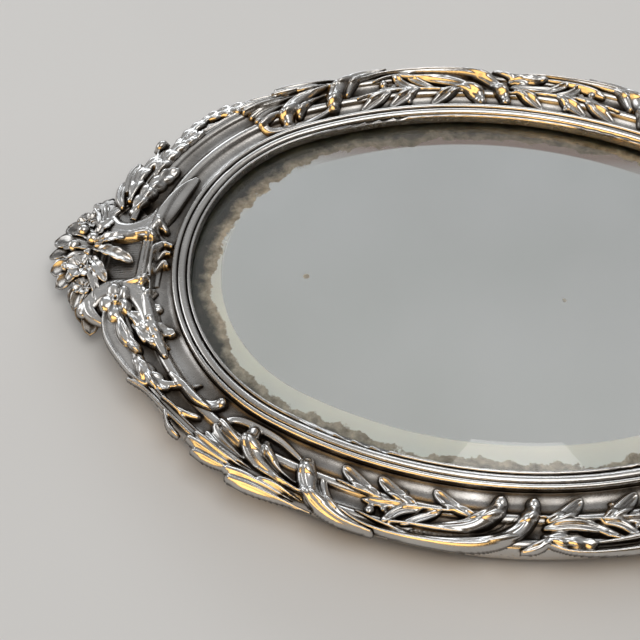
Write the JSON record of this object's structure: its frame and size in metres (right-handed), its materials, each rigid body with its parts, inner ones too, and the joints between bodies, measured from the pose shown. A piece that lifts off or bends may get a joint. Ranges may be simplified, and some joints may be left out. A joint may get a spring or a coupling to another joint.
{
  "type": "countertop mirror",
  "caption": "Oval bevelled mirror in an ornate cast metal frame with a flower crest, and an easel strut folding flat into its back.",
  "frame": {"origin": "under the middle of the object, on the surface it lies on", "axes": "+Z out of the front of the glass, -X towards the flower crest (up in use), Y across"},
  "size_m": [0.44, 0.299, 0.0295],
  "materials": {
    "silver": "polished old silver, dark in the recesses",
    "glass": "polished plate with a wide bevel",
    "mirror": "old silvering, worn off at the edge",
    "paper": "aged brown paper",
    "wood": "oiled",
    "dark_wood": "dark stain, satin",
    "velvet": "worn velvet",
    "felt": "felt",
    "brass": "aged",
    "screw_steel": "blued, dull"
  },
  "bodies": {
    "frame": {"frame_shell": "silver", "bezel_ring": "silver", "mirror_glass": "glass", "silvering": "mirror", "backing_paper": "paper", "door_board": "wood", "door_velvet": "velvet", "carrier_ring": "dark_wood", "rear_felt": "felt", "crest_cartouche": "silver", "foot_cartouche": "silver", "bouquet_leaves": "silver", "bouquet_rose": "silver", "bouquet_buds": "silver", "bouquet_sprays": "silver", "foot_shell": "silver", "hinge_leaf_fixed": "brass", "hinge_pin": "brass", "hinge_screws_fixed": "screw_steel", "stay_bracket": "brass", "stay_rivet": "brass", "bracket_screws": "screw_steel", "button_screws": "screw_steel", "frame_screws": "screw_steel", "scroll_near": "silver", "scroll_far": "silver", "garland_near_crest": "silver", "acanthus_near_crest": "silver", "sprig_near_crest": "silver", "garland_near_foot": "silver", "acanthus_near_foot": "silver", "sprig_near_foot": "silver", "garland_far_crest": "silver", "acanthus_far_crest": "silver", "sprig_far_crest": "silver", "garland_far_foot": "silver", "acanthus_far_foot": "silver", "sprig_far_foot": "silver"},
    "strut": {"strut_core": "wood", "strut_velvet": "velvet", "hinge_leaf_moving": "brass", "hinge_screws_moving": "screw_steel", "stay_stud": "brass"},
    "stay": {"stay_arm": "brass"},
    "button_1": {"turn_button_1": "brass"},
    "button_2": {"turn_button_2": "brass"},
    "button_3": {"turn_button_3": "brass"},
    "button_4": {"turn_button_4": "brass"}
  },
  "joints": [
    {"name": "strut_hinge", "type": "hinge", "parent": "frame", "child": "strut", "pos_m": [-0.0355, 0, 0.0064], "axis": [0, 1, 0], "range_deg": [0, 30]},
    {"name": "stay_pivot", "type": "hinge", "parent": "frame", "child": "stay", "pos_m": [0.0695, 0, 0.0056], "axis": [0, 1, 0], "range_deg": [-13.5, 0]},
    {"name": "button_1_turn", "type": "hinge", "parent": "frame", "child": "button_1", "pos_m": [-0.11324, -0.08156, 0.0077], "axis": [0, 0, 1], "range_deg": [0, 90]},
    {"name": "button_2_turn", "type": "hinge", "parent": "frame", "child": "button_2", "pos_m": [-0.11324, 0.08156, 0.0077], "axis": [0, 0, 1], "range_deg": [-90, 0]},
    {"name": "button_3_turn", "type": "hinge", "parent": "frame", "child": "button_3", "pos_m": [0.14225, 0.08156, 0.0077], "axis": [0, 0, 1], "range_deg": [0, 90]},
    {"name": "button_4_turn", "type": "hinge", "parent": "frame", "child": "button_4", "pos_m": [0.14225, -0.08156, 0.0077], "axis": [0, 0, 1], "range_deg": [-90, 0]}
  ],
  "couplings": [
    {"joint": "stay_pivot", "follows": "strut_hinge", "ratio": -0.45}
  ]
}
